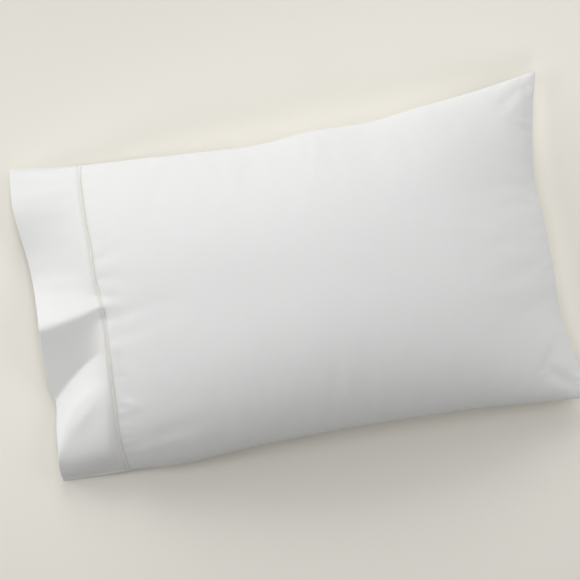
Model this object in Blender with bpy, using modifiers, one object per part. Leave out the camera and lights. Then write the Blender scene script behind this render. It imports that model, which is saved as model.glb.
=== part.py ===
"""A filled pillowcase lying on its back, in metres, +Z up.

+X points at the closed end with its two ears and -X at the open mouth. The case rests on
z = 0 and its box is centred on the origin. Three pieces make it: the filled body, the
empty cuff round the mouth, and the thin trim in the seam between the two.
"""

import math
from bisect import bisect_right
from collections import namedtuple

import bmesh
import bpy
import numpy as np

COLLECTION = "pillowcase"

# Plan of the seam between body and cuff, and of the closed end with its two ears
Crossing = namedtuple("Crossing", "y x")
SEAM_LINE = (
    Crossing(-0.2450, -0.3072),
    Crossing(-0.2000, -0.3090),
    Crossing(-0.1300, -0.3035),
    Crossing(-0.0600, -0.2990),
    Crossing(0.0100, -0.2966),
    Crossing(0.0450, -0.2998),
    Crossing(0.1000, -0.3000),
    Crossing(0.1700, -0.3022),
    Crossing(0.2350, -0.3032),
)
END_LINE = (
    Crossing(-0.2530, 0.4115),
    Crossing(-0.2000, 0.3955),
    Crossing(-0.1500, 0.3845),
    Crossing(-0.1150, 0.3800),
    Crossing(-0.0600, 0.3805),
    Crossing(0.0450, 0.3770),
    Crossing(0.0800, 0.3742),
    Crossing(0.1200, 0.3785),
    Crossing(0.1930, 0.3922),
    Crossing(0.2530, 0.4080),
)
SEAM_X = -0.3010  # about where the side edges meet the two lines
EAR_X = 0.4100

# Plan of the two side edges
SideEdge = namedtuple("SideEdge", "x y_plus y_minus")
SIDE_EDGES = (
    SideEdge(-0.4095, 0.2425, -0.2440),
    SideEdge(-0.2975, 0.2305, -0.2445),
    SideEdge(-0.2425, 0.2262, -0.2470),
    SideEdge(-0.1125, 0.2155, -0.2380),
    SideEdge(-0.0175, 0.2105, -0.2340),
    SideEdge(0.0625, 0.2175, -0.2335),
    SideEdge(0.1525, 0.2155, -0.2350),
    SideEdge(0.2275, 0.2255, -0.2375),
    SideEdge(0.3125, 0.2360, -0.2445),
    SideEdge(0.4100, 0.2530, -0.2530),
)

# Heights of the filled body. u runs from 0 at the cuff seam to 1 at the closed end, and t
# from -1 to 1 across. The rims are the side seams, where the top and bottom cloths meet.
BodyHeight = namedtuple("BodyHeight", "u crown rim_plus rim_minus")
BODY_HEIGHTS = (
    BodyHeight(0.00, 0.086, 0.014, 0.014),
    BodyHeight(0.03, 0.096, 0.019, 0.018),
    BodyHeight(0.06, 0.104, 0.024, 0.023),
    BodyHeight(0.16, 0.122, 0.042, 0.040),
    BodyHeight(0.32, 0.143, 0.060, 0.056),
    BodyHeight(0.50, 0.154, 0.066, 0.062),
    BodyHeight(0.68, 0.152, 0.064, 0.060),
    BodyHeight(0.84, 0.140, 0.050, 0.050),
    BodyHeight(0.94, 0.126, 0.036, 0.038),
    BodyHeight(1.00, 0.118, 0.028, 0.030),
)
SIDE_POWER = 2.4  # how square the section is
SIDE_ROUND = 0.62  # how steeply it leaves the side seams
END_POWER = 5.0  # the same two for the closed end
END_ROUND = 0.80
END_LIFT = 0.018  # how far the middle of the end seam rides above the ears
END_LIFT_POWER = 6
FLAT_T = 0.58  # share of the half width that lies flat on the floor
FLAT_U = 0.70  # share of the body's length that lies flat
BOTTOM_CORNER = 2.5  # how square the flat part's corners are
BOTTOM_CURL = 2.4  # how late the cloth curls up from the floor to the seams
FRONT_LIFT = 0.0025  # height of the seam above the floor
FRONT_RUN = 0.0600  # length over which the cloth comes back down to the floor

# Soft ridges of the top cloth that rise from nothing towards the two ears. left and right
# are their widths on the two sides, as seen along the ridge.
RIDGE_SWELL = 0.25  # share of the swell over which they fade out at the seams
Ridge = namedtuple("Ridge", "x_from y_from x_to y_to height left right")
EAR_RIDGES = (
    Ridge(0.354, 0.050, 0.379, 0.232, 0.009, 0.045, 0.010),
    Ridge(0.330, -0.110, 0.392, -0.222, 0.004, 0.040, 0.016),
)

# Sharp pinch of the cloth where the cuff's tall crest meets the seam
PINCH_Y = 0.0095
PINCH_HEIGHT = 0.0060
PINCH_HALF_WIDTH = 0.0180
PINCH_FADE = 0.0120

# The cuff's top cloth from the +Y side to the -Y side, a row for each line that runs from
# the seam to the mouth. bow is how far its middle swings towards +Y, and steps is the number
# of faces between a line and the one before it.
FoldLine = namedtuple("FoldLine", "name y_seam z_seam x_mouth y_mouth z_mouth bow steps sharp")
FOLD_LINES = (
    FoldLine("side bend", 0.2280, 0.0165, -0.4110, 0.2400, 0.0050, 0.0000, 0, True),
    FoldLine("side slope", 0.2070, 0.0430, -0.4125, 0.2210, 0.0150, 0.0000, 4, False),
    FoldLine("first hump", 0.1800, 0.0575, -0.4130, 0.1840, 0.0280, 0.0000, 3, False),
    FoldLine("flat stretch", 0.1050, 0.0765, -0.4050, 0.1000, 0.0225, 0.0000, 6, False),
    FoldLine("rise", 0.0500, 0.0820, -0.4020, 0.0540, 0.0300, 0.0000, 5, False),
    FoldLine("tall crest", 0.0095, 0.0930, -0.3995, -0.0075, 0.0610, -0.0020, 4, True),
    FoldLine("dark face", -0.0230, 0.0795, -0.4050, -0.0580, 0.0355, 0.0000, 3, False),
    FoldLine("lower dark face", -0.0420, 0.0740, -0.4070, -0.1030, 0.0160, 0.0050, 2, False),
    FoldLine("valley", -0.0560, 0.0710, -0.4015, -0.1205, 0.0090, 0.0090, 2, True),
    FoldLine("bright face", -0.0910, 0.0765, -0.4045, -0.1540, 0.0220, 0.0150, 3, False),
    FoldLine("low crest", -0.1300, 0.0795, -0.4060, -0.1910, 0.0360, 0.0225, 4, False),
    FoldLine("foot", -0.2070, 0.0605, -0.4100, -0.2190, 0.0295, 0.0030, 5, False),
    FoldLine("far slope", -0.2290, 0.0375, -0.4110, -0.2345, 0.0165, 0.0000, 3, False),
    FoldLine("far side bend", -0.2420, 0.0165, -0.4115, -0.2415, 0.0050, 0.0000, 2, True),
)
FOLD_ONSET = 0.09  # share of the cuff's depth over which the arch turns into folds
SEWN_EDGE = 0.0040  # depth of the cuff's edge that the stitching holds straight
MOUTH_DRAW_IN = 0.0160  # how far the middle of the bottom cloth's hem lies in from its ends

# Cloth, sewn edges and trim
CLOTH = 0.0020
SEAM_HALF = 0.0015  # half the thickness of the body's sewn edges
SEAM_TAPER = 0.60  # share of the body over which its edges thin down to that
BEND_HALF = 0.0025  # half the thickness of the cuff's flattened side bends
TRIM_RADIUS = 0.0016
TRIM_SUNK = 0.0009  # how far the trim's centre lies under the cloth's face
SEAM_ROOM = TRIM_RADIUS + 0.0003  # from the trim's centre to the pieces on both sides

# The pillow's rounded end inside the cuff, a row for each ring from the seam inwards
EndRing = namedtuple("EndRing", "depth inset_y inset_z")
END_RINGS = (
    EndRing(0.0000, 0.010, 0.009),
    EndRing(0.0070, 0.014, 0.015),
    EndRing(0.0130, 0.021, 0.023),
    EndRing(0.0175, 0.031, 0.032),
    EndRing(0.0200, 0.045, 0.038),
)

# Mesh
BODY_ROWS = 38
ROW_BUNCHING = 0.85  # how much closer the body's rows lie near its two ends
CUFF_ROWS = 11
BEND_STEPS = 4
TRIM_RESOLUTION = 2

# Finishes
Finish = namedtuple("Finish", "name colour roughness")
COTTON = Finish("white_cotton", (0.86, 0.86, 0.855), 0.85)
TRIM = Finish("beige_trim", (0.80, 0.78, 0.71), 0.70)


def mix(low, high, share):
    return low + (high - low) * share


def column(rows, name):
    return [getattr(row, name) for row in rows]


def smooth_through(keys, values, at, sharp=()):
    """Smooth curve through the values at the rising keys. It may break at the sharp rows."""
    i = min(max(bisect_right(keys, at) - 1, 0), len(keys) - 2)
    span = keys[i + 1] - keys[i]
    share = min(max((at - keys[i]) / span, 0.0), 1.0)
    chord = (values[i + 1] - values[i]) / span
    slopes = np.gradient(values, keys)
    start = chord if i in sharp else slopes[i]
    end = chord if i + 1 in sharp else slopes[i + 1]
    square, cube = share**2, share**3
    return float(
        (2 * cube - 3 * square + 1) * values[i]
        + (cube - 2 * square + share) * span * start
        + (3 * square - 2 * cube) * values[i + 1]
        + (cube - square) * span * end
    )


# ------------------------------------------------------------------ plan of the body


def seam_x(y):
    return smooth_through(column(SEAM_LINE, "y"), column(SEAM_LINE, "x"), y)


def end_x(y):
    return smooth_through(column(END_LINE, "y"), column(END_LINE, "x"), y)


def edge_y(x, side):
    """Y of the side edge at x, on the +Y side or the -Y side."""
    name = "y_plus" if side > 0 else "y_minus"
    return smooth_through(column(SIDE_EDGES, "x"), column(SIDE_EDGES, name), x)


def half_seam(u):
    return mix(BEND_HALF, SEAM_HALF, min(u / SEAM_TAPER, 1.0))


def plan(u, t):
    """Plan position of a point, the rounded outer faces of the side seams left out."""
    side = 1 if t >= 0 else -1
    y = abs(t) * (edge_y(mix(SEAM_X, EAR_X, u), side) - side * half_seam(u))
    return mix(seam_x(y) + SEAM_ROOM, end_x(y), u), y


# --------------------------------------------------------------- heights of the body


def body_height(name, u):
    return smooth_through(column(BODY_HEIGHTS, "u"), column(BODY_HEIGHTS, name), u)


def rim_height(u, t):
    side = mix(body_height("rim_minus", u), body_height("rim_plus", u), (t + 1) / 2)
    return side + END_LIFT * u**END_LIFT_POWER * (1 - t * t)


def swell(u, t):
    """0 on the seams and 1 over the middle of the body."""
    across = max(1 - abs(t) ** SIDE_POWER, 0.0) ** SIDE_ROUND
    along = max(1 - u**END_POWER, 0.0) ** END_ROUND
    return across * along


def ear_ridges(x, y):
    total = 0.0
    for ridge in EAR_RIDGES:
        run = np.array((ridge.x_to - ridge.x_from, ridge.y_to - ridge.y_from))
        reach = np.array((x - ridge.x_from, y - ridge.y_from))
        share = min(max(float(reach @ run / (run @ run)), 0.0), 1.0)
        away = float(np.linalg.norm(reach - share * run))
        width = ridge.left if run[0] * reach[1] > run[1] * reach[0] else ridge.right
        total += ridge.height * share * math.exp(-((away / width) ** 2))
    return total


def pinch(past_seam, y):
    side = max(0.0, 1 - abs(y - PINCH_Y) / PINCH_HALF_WIDTH)
    return PINCH_HEIGHT * side * math.exp(-max(past_seam, 0.0) / PINCH_FADE)


def top_height(u, t):
    x, y = plan(u, t)
    full = swell(u, t)
    rise = body_height("crown", u) - body_height("rim_plus", u)
    ridges = ear_ridges(x, y) * min(1.0, full / RIDGE_SWELL)
    past_seam = x - seam_x(y) - SEAM_ROOM
    return rim_height(u, t) + half_seam(u) + rise * full + ridges + pinch(past_seam, y)


def floor_height(x):
    return FRONT_LIFT * max(0.0, 1 - abs(x - SEAM_X) / FRONT_RUN) ** 2


def bottom_height(x, u, t, rim):
    """The bottom cloth lies on the floor and curls up to the rim near the seams."""
    side = max(0.0, abs(t) - FLAT_T) / (1 - FLAT_T)
    end = max(0.0, u - FLAT_U) / (1 - FLAT_U)
    near = min((side**BOTTOM_CORNER + end**BOTTOM_CORNER) ** (1 / BOTTOM_CORNER), 1.0)
    floor = floor_height(x)
    return floor + (rim - floor) * near**BOTTOM_CURL


# ------------------------------------------------------------------------- the rings


def fold_value(name, step):
    """A column of the fold table, read smoothly at a step across the cuff."""
    keys = list(np.cumsum(column(FOLD_LINES, "steps")))
    sharp = [i for i, line in enumerate(FOLD_LINES) if line.sharp]
    values = column(FOLD_LINES, name)
    breaks = sharp if name in ("z_seam", "z_mouth") else ()
    return smooth_through(keys, values, step, breaks)


def steps_across():
    return sum(column(FOLD_LINES, "steps")) + 1


def shares_across():
    """Shares of the half width at which the rings have points, from the +Y side."""
    ends = FOLD_LINES[0].y_seam, -FOLD_LINES[-1].y_seam
    places = [fold_value("y_seam", step) for step in range(steps_across())]
    return [y / ends[0] if y >= 0 else y / ends[1] for y in places]


def side_bend(corner, half, side):
    """Half circle from the top cloth down to the bottom one, or back up on the +Y side."""
    x, y, z = corner
    points = []
    for step in range(1, BEND_STEPS):
        angle = math.pi * step / BEND_STEPS
        points.append((x, y + side * half * math.sin(angle), z - side * half * math.cos(angle)))
    return points


def closed_ring(top, bottom, half):
    """Joins a top row (+Y to -Y) and a bottom row (-Y to +Y) by the two side bends."""
    far_x, far_y, far_z = bottom[0]
    near_x, near_y, near_z = bottom[-1]
    far_bend = side_bend((far_x, far_y, far_z + half), half, -1)
    near_bend = side_bend((near_x, near_y, near_z + half), half, 1)
    return top + far_bend + bottom + near_bend


def body_ring(u):
    half = half_seam(u)
    shares = shares_across()
    top = [(*plan(u, t), top_height(u, t)) for t in shares]
    bottom = []
    for t in reversed(shares):
        x, y = plan(u, t)
        bottom.append((x, y, bottom_height(x, u, t, rim_height(u, t) - half)))
    return closed_ring(top, bottom, half)


def moved(ring, x):
    return [(point[0] + x, point[1], point[2]) for point in ring]


def shrunk(ring, row):
    """The body's first ring drawn in to make a ring of its end inside the cuff."""
    ys = [point[1] for point in ring]
    zs = [point[2] for point in ring]
    middle_y, half_y = (max(ys) + min(ys)) / 2, (max(ys) - min(ys)) / 2
    middle_z, half_z = (max(zs) + min(zs)) / 2, (max(zs) - min(zs)) / 2
    return [
        (
            x - row.depth,
            middle_y + (y - middle_y) * (1 - row.inset_y / half_y),
            middle_z + (z - middle_z) * (1 - row.inset_z / half_z),
        )
        for x, y, z in ring
    ]


def sunk(ring, depth):
    """A ring moved towards its inside, square to itself in the YZ plane."""
    points = []
    for i, (x, y, z) in enumerate(ring):
        before, after = ring[i - 1], ring[(i + 1) % len(ring)]
        run_y, run_z = after[1] - before[1], after[2] - before[2]
        length = math.hypot(run_y, run_z)
        points.append((x, y - depth * run_z / length, z + depth * run_y / length))
    return points


def cuff_ring(v):
    """A ring of the cuff's outer face, from its sewn edge at v = 0 to the mouth at v = 1."""
    seam_shares = shares_across()
    onset = 1 - math.exp(-v / FOLD_ONSET)
    swing = 4 * v * (1 - v)
    top = []
    for step, t in enumerate(seam_shares):
        y_seam = fold_value("y_seam", step)
        y = mix(y_seam, fold_value("y_mouth", step), v) + fold_value("bow", step) * swing
        x = mix(seam_x(y_seam) - SEAM_ROOM - SEWN_EDGE, fold_value("x_mouth", step), v)
        folds = mix(fold_value("z_seam", step), fold_value("z_mouth", step), v)
        top.append((x, y, mix(top_height(0, t), folds, onset)))
    far, near = top[-1], top[0]
    bottom = []
    for t in reversed(seam_shares):
        place = (t + 1) / 2
        y = mix(far[1], near[1], place)
        mouth = mix(FOLD_LINES[-1].x_mouth, FOLD_LINES[0].x_mouth, place)
        x = mix(seam_x(y) - SEAM_ROOM - SEWN_EDGE, mouth + MOUTH_DRAW_IN * (1 - t * t), v)
        rim = mix(far[2], near[2], place) - 2 * BEND_HALF
        bottom.append((x, y, bottom_height(x, 0, t, rim)))
    return closed_ring(top, bottom, BEND_HALF)


# ------------------------------------------------------------------------- the pieces


def cap_faces(ring):
    """Closes a ring by strips between its top row and its bottom row."""
    across = steps_across()
    top = ring[:across]
    far_bend = ring[across : across + BEND_STEPS - 1]
    bottom = ring[across + BEND_STEPS - 1 : 2 * across + BEND_STEPS - 1]
    near_bend = ring[2 * across + BEND_STEPS - 1 :]
    faces = [[top[-1], *far_bend, bottom[0]], [bottom[-1], *near_bend, top[0]]]
    for i in range(across - 1):
        faces.append([top[i], top[i + 1], bottom[-i - 2], bottom[-i - 1]])
    return faces


def loft(name, rings, capped):
    """Skins rings of equal length that follow each other along +X."""
    form = bmesh.new()
    rows = [[form.verts.new(point) for point in ring] for ring in rings]
    for row, ahead in zip(rows, rows[1:]):
        for i in range(len(row)):
            j = (i + 1) % len(row)
            form.faces.new((row[i], row[j], ahead[j], ahead[i]))
    if capped:
        for row in (rows[0], rows[-1]):
            for corners in cap_faces(row):
                form.faces.new(corners)
        bmesh.ops.recalc_face_normals(form, faces=form.faces)
    mesh = bpy.data.meshes.new(name)
    form.to_mesh(mesh)
    form.free()
    return bpy.data.objects.new(name, mesh)


def principled(finish):
    material = bpy.data.materials.new(finish.name)
    material.use_nodes = True
    shader = material.node_tree.nodes["Principled BSDF"]
    shader.inputs["Base Color"].default_value = (*finish.colour, 1.0)
    shader.inputs["Roughness"].default_value = finish.roughness
    shader.inputs["Metallic"].default_value = 0.0
    material.diffuse_color = (*finish.colour, 1.0)
    return material


def build_body():
    rings = [shrunk(body_ring(0), row) for row in reversed(END_RINGS)]
    for row in range(BODY_ROWS + 1):
        even = row / BODY_ROWS
        u = even - ROW_BUNCHING * math.sin(2 * math.pi * even) / (2 * math.pi)
        rings.append(body_ring(u))
    return loft("case_body", rings, capped=True)


def build_cuff():
    rings = [cuff_ring(1 - row / CUFF_ROWS) for row in range(CUFF_ROWS + 1)]
    rings.append(moved(rings[-1], SEWN_EDGE))
    cuff = loft("cuff", rings, capped=False)
    cloth = cuff.modifiers.new("cloth", "SOLIDIFY")
    cloth.thickness = CLOTH
    cloth.offset = -1.0
    cloth.use_even_offset = True
    return cuff


def build_trim():
    route = sunk(moved(body_ring(0), -SEAM_ROOM), TRIM_SUNK)
    curve = bpy.data.curves.new("seam_trim", "CURVE")
    curve.dimensions = "3D"
    curve.bevel_depth = TRIM_RADIUS
    curve.bevel_resolution = TRIM_RESOLUTION
    line = curve.splines.new("POLY")
    line.points.add(len(route) - 1)
    for point, place in zip(line.points, route):
        point.co = (*place, 1.0)
    line.use_cyclic_u = True
    return bpy.data.objects.new("seam_trim", curve)


def clear_scene():
    for old in list(bpy.data.objects):
        bpy.data.objects.remove(old, do_unlink=True)


def main():
    clear_scene()
    pieces = bpy.data.collections.new(COLLECTION)
    bpy.context.scene.collection.children.link(pieces)
    cotton, trim = principled(COTTON), principled(TRIM)
    for piece, material in (
        (build_body(), cotton),
        (build_cuff(), cotton),
        (build_trim(), trim),
    ):
        piece.data.materials.append(material)
        pieces.objects.link(piece)


main()
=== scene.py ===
"""The looks of a filled pillowcase: its cotton body, the folded cuff and the beige trim.

+X points at the closed end with its two ears, -X at the open mouth, and +Z is up. The tables
of the form are those of the solids, read here on a much finer mesh.
"""

import math
from collections import namedtuple

import bmesh
import bpy
import numpy as np
from bpy.props import FloatProperty, FloatVectorProperty, IntProperty, PointerProperty
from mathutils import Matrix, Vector


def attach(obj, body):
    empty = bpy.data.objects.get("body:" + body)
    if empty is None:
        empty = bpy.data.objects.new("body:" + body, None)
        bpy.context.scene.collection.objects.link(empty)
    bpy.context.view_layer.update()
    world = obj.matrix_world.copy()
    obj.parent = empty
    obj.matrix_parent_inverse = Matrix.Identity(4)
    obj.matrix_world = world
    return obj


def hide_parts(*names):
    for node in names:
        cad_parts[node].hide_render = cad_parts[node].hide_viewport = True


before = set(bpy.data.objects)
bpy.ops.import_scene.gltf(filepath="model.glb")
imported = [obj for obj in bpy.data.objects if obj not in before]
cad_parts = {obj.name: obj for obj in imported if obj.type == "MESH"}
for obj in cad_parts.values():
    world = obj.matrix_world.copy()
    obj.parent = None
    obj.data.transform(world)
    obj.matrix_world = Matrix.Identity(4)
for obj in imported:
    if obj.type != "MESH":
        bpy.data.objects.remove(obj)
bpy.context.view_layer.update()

bl_info = {
    "name": "Pillowcase looks",
    "version": (1, 0, 0),
    "blender": (4, 5, 0),
    "location": "3D View > Sidebar > Pillowcase",
    "description": "Dresses the solids of a filled pillowcase in cotton, folds and a beige trim",
    "category": "Object",
}

BODY_NODE, CUFF_NODE, TRIM_NODE = "case_body", "cuff", "seam_trim"
COTTON, THREAD = "fine cotton weave", "trim thread"
CLOTH_PLAN, NEAR_TRIM = "cloth", "near_trim"
ONE_BODY = "root"

# ---- the form's tables


def table(kind, *rows):
    return tuple(kind(*row) for row in rows)


# Plan of the seam between body and cuff, and of the closed end with its two ears
Crossing = namedtuple("Crossing", "y x")
SEAM_LINE = table(
    Crossing,
    (-0.2450, -0.3072), (-0.2000, -0.3090), (-0.1300, -0.3035), (-0.0600, -0.2990),
    (0.0100, -0.2966), (0.0450, -0.2998), (0.1000, -0.3000), (0.1700, -0.3022),
    (0.2350, -0.3032),
)
END_LINE = table(
    Crossing,
    (-0.2530, 0.4115), (-0.2000, 0.3955), (-0.1500, 0.3845), (-0.1150, 0.3800),
    (-0.0600, 0.3805), (0.0450, 0.3770), (0.0800, 0.3742), (0.1200, 0.3785),
    (0.1930, 0.3922), (0.2530, 0.4080),
)
SEAM_X = -0.3010
EAR_X = 0.4100

# Plan of the two side edges
SideEdge = namedtuple("SideEdge", "x y_plus y_minus")
SIDE_EDGES = table(
    SideEdge,
    (-0.4095, 0.2425, -0.2440),
    (-0.2975, 0.2305, -0.2445),
    (-0.2425, 0.2262, -0.2470),
    (-0.1125, 0.2155, -0.2380),
    (-0.0175, 0.2105, -0.2340),
    (0.0625, 0.2175, -0.2335),
    (0.1525, 0.2155, -0.2350),
    (0.2275, 0.2255, -0.2375),
    (0.3125, 0.2360, -0.2445),
    (0.4100, 0.2530, -0.2530),
)

# Heights of the filled body from the cuff seam, u = 0, to the closed end, u = 1
BodyHeight = namedtuple("BodyHeight", "u crown rim_plus rim_minus")
BODY_HEIGHTS = table(
    BodyHeight,
    (0.00, 0.086, 0.014, 0.014),
    (0.03, 0.096, 0.019, 0.018),
    (0.06, 0.104, 0.024, 0.023),
    (0.16, 0.122, 0.042, 0.040),
    (0.32, 0.143, 0.060, 0.056),
    (0.50, 0.154, 0.066, 0.062),
    (0.68, 0.152, 0.064, 0.060),
    (0.84, 0.140, 0.050, 0.050),
    (0.94, 0.126, 0.036, 0.038),
    (1.00, 0.118, 0.028, 0.030),
)
SIDE_POWER = 2.4
SIDE_ROUND = 0.62
END_POWER = 5.0
END_ROUND = 0.80
END_LIFT = 0.018
END_LIFT_POWER = 6
FLAT_T = 0.58
FLAT_U = 0.70
BOTTOM_CORNER = 2.5
BOTTOM_CURL = 2.4
FRONT_LIFT = 0.0025
FRONT_RUN = 0.0600

# Soft ridges of the top cloth that rise from nothing towards the two ears. left and right
# are their widths on the two sides, as seen along the ridge.
RIDGE_SWELL = 0.25
Ridge = namedtuple("Ridge", "x_from y_from x_to y_to height left right")
EAR_RIDGES = table(
    Ridge,
    (0.354, 0.050, 0.379, 0.232, 0.009, 0.045, 0.010),
    (0.330, -0.110, 0.392, -0.222, 0.004, 0.040, 0.016),
)

# Sharp pinch of the cloth where the cuff's tall crest meets the seam
PINCH_Y = 0.0095
PINCH_HEIGHT = 0.0060
PINCH_HALF_WIDTH = 0.0180
PINCH_FADE = 0.0120

# The cuff's top cloth from the +Y side to the -Y side, a row for each line from seam to mouth.
# bow is how far the line's middle swings towards +Y.
FoldLine = namedtuple("FoldLine", "name y_seam z_seam x_mouth y_mouth z_mouth bow steps sharp")
FOLD_LINES = table(
    FoldLine,
    ("side bend", 0.2280, 0.0165, -0.4110, 0.2400, 0.0050, 0.0000, 0, True),
    ("side slope", 0.2070, 0.0430, -0.4125, 0.2210, 0.0150, 0.0000, 4, False),
    ("first hump", 0.1800, 0.0575, -0.4130, 0.1840, 0.0280, 0.0000, 3, False),
    ("flat stretch", 0.1050, 0.0765, -0.4050, 0.1000, 0.0225, 0.0000, 6, False),
    ("rise", 0.0500, 0.0820, -0.4020, 0.0540, 0.0300, 0.0000, 5, False),
    ("tall crest", 0.0095, 0.0930, -0.3995, -0.0075, 0.0610, -0.0020, 4, True),
    ("dark face", -0.0230, 0.0795, -0.4050, -0.0580, 0.0355, 0.0000, 3, False),
    ("lower dark face", -0.0420, 0.0740, -0.4070, -0.1030, 0.0160, 0.0050, 2, False),
    ("valley", -0.0560, 0.0710, -0.4015, -0.1205, 0.0090, 0.0090, 2, True),
    ("bright face", -0.0910, 0.0765, -0.4045, -0.1540, 0.0220, 0.0150, 3, False),
    ("low crest", -0.1300, 0.0795, -0.4060, -0.1910, 0.0360, 0.0225, 4, False),
    ("foot", -0.2070, 0.0605, -0.4100, -0.2190, 0.0295, 0.0030, 5, False),
    ("far slope", -0.2290, 0.0375, -0.4110, -0.2345, 0.0165, 0.0000, 3, False),
    ("far side bend", -0.2420, 0.0165, -0.4115, -0.2415, 0.0050, 0.0000, 2, True),
)
FOLD_ONSET = 0.09
SEWN_EDGE = 0.0040
MOUTH_DRAW_IN = 0.0160

# Sewn edges and the room that the trim has between the two cloths
SEAM_HALF = 0.0015
SEAM_TAPER = 0.60
BEND_HALF = 0.0025
TRIM_RADIUS = 0.0016
TRIM_SUNK = 0.0009
SEAM_ROOM = TRIM_RADIUS + 0.0003

# The pillow's rounded end inside the cuff
EndRing = namedtuple("EndRing", "depth inset_y inset_z")
END_RINGS = table(
    EndRing,
    (0.0000, 0.010, 0.009),
    (0.0070, 0.014, 0.015),
    (0.0130, 0.021, 0.023),
    (0.0175, 0.031, 0.032),
    (0.0200, 0.045, 0.038),
)

# How both cloths turn down beside the trim and run in under it
Tuck = namedtuple("Tuck", "inwards depth")
TUCKS = table(
    Tuck,
    (0.00025, 0.0000), (0.00045, 0.0001), (0.00060, 0.0004),
    (0.00080, 0.0010), (0.00110, 0.0020),
)

# ---- creases that only the looks have

# Soft creases of the body's top cloth: ridges, or troughs where the height is below 0
Crease = namedtuple("Crease", "x_from y_from x_to y_to height width")
BODY_CREASES = table(
    Crease,
    (-0.282, 0.170, -0.272, 0.085, 0.0009, 0.0080),
    (-0.290, -0.005, -0.286, -0.100, 0.0016, 0.0070),
    (-0.296, -0.075, -0.272, -0.118, -0.0007, 0.0070),
    (-0.298, -0.130, -0.262, -0.152, 0.0010, 0.0060),
    (-0.297, -0.200, -0.150, -0.180, -0.0007, 0.0110),
    (-0.299, -0.216, -0.190, -0.200, 0.0006, 0.0080),
    (0.392, 0.238, 0.330, 0.196, -0.0018, 0.0090),
    (0.394, -0.236, 0.335, -0.190, -0.0016, 0.0090),
)

CUFF_CREASES = table(
    Crease,
    (-0.412, 0.196, -0.296, 0.190, 0.0012, 0.0090),
    (-0.405, 0.150, -0.300, 0.140, -0.0008, 0.0140),
    (-0.404, 0.060, -0.296, 0.052, 0.0010, 0.0100),
    (-0.325, -0.120, -0.385, -0.178, 0.0015, 0.0090),
)

# Camera and lights. Turns are from the picture's top, towards its left.
CAMERA_TURN = -9.8
CAMERA_PLACE = (-0.0173, -0.0132)
CAMERA_HEIGHT = 2.2
FOCUS_HEIGHT = 0.045
VIEW_WIDTH = 0.8787
SENSOR = 36.0
FLOOR_GAP = 0.0004
SUN_WIDTH = 24.0
SOFTBOX_DISTANCE = 1.5
SOFTBOX_SIZE = 0.8
Light = namedtuple("Light", "name kind height turn power")
LIGHTS = table(
    Light,
    ("top side", "SUN", 25, 0, 0.951),
    ("low left", "SUN", 12, 60, 1.029),
    ("bottom side", "SUN", 40, 180, 0.438),
    ("upper top side", "SUN", 40, 0, 0.340),
    ("overhead softbox", "AREA", 85, 0, 3.85),
    ("left softbox", "AREA", 40, 90, 4.94),
    ("right softbox", "AREA", 40, -90, 2.95),
    ("top right softbox", "AREA", 40, -45, 2.13),
)

# Mesh
BODY_LENGTH = 0.70
BODY_COLUMNS = 140
BEND_STEPS = 10
SEAM_STEPS = 5
INNER_RINGS = 9
CUFF_DEPTH = 0.11
CUFF_STEP_SPLITS = 5
FINE_STEP = 0.0007
COARSE_STEP = 0.0042
CUFF_STEP = 0.0021
LIP_STEPS = 6
STEP_GROWTH = 1.25
TRIM_SIDES = 10
TURN_STEPS = 12
THREAD_SIDES = 4
MERGE = 1e-6
NO_LENGTH, NO_AREA = 1e-12, 1e-6

# How the cloth is eased and drawn in at its seams. Reaches and widths are in metres.
TRIM_CLEAR = 0.004
GROOVE_WIDTH = 0.0009
ROLL_WIDTH = 0.0022
COLLAR_SHARES = (0.3, 0.55, 0.75, 0.9, 1.0)
COLLAR_EASE, COLLAR_SOFTNESS = 0.008, 6
EASE_POWER = 0.5
FACING_UP = 0.25

# Waves that sewing leaves. Their lengths are shares of the pitch, and their onset is a share
# of their reach. Nearer to the trim and the other seams than STILL they die out.
WAVES = 9
WAVE_LENGTHS = (0.6, 2.2)
PUCKER_SEED = 11
PUCKER_ONSET = 0.25
TRIM_STILL, SEAM_STILL = 0.002, 0.003

# Finishes
WEAVE_RELIEF = 0.085
THREAD_STRETCH = (30.0, 1800.0)
WARP_SEED, WEFT_SEED = 3.0, 7.0
WEAVE_DETAIL = 3.0
THREAD_RANGE = (0.7, 1.3)
SHEEN_ROUGHNESS = 0.45
TONE_SCALE, TONE_DETAIL = 900.0, 2.0
THREAD_TONES = 0.10
THREAD_BUMP, THREAD_RELIEF = 0.25, 0.0001
MIX_A, MIX_B, MIX_RESULT = 6, 7, 2

# Cloth simulation of the filled body
FILL_COLUMNS = 100
FILL_ROWS = 140
FILL_FRAMES = 20
FILL_QUALITY = 5
FILL_MASS = 0.15
FILL_SPARE = 0.03
FILL_SHAKE = 0.00015
FILL_SEED = 5
FILL_SMOOTHING = 40
FILL_FREE = 0.012
HALF_WIDTH = 0.24


def mix(low, high, share):
    return low + (high - low) * share


def bell(distance, width):
    return np.exp(-((distance / width) ** 2))


def ramp(distance, reach):
    """0 up to a distance of 0, and 1 from the reach on."""
    return np.clip(distance / reach, 0.0, 1.0)


def column(rows, name):
    return np.array([getattr(row, name) for row in rows], float)


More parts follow.
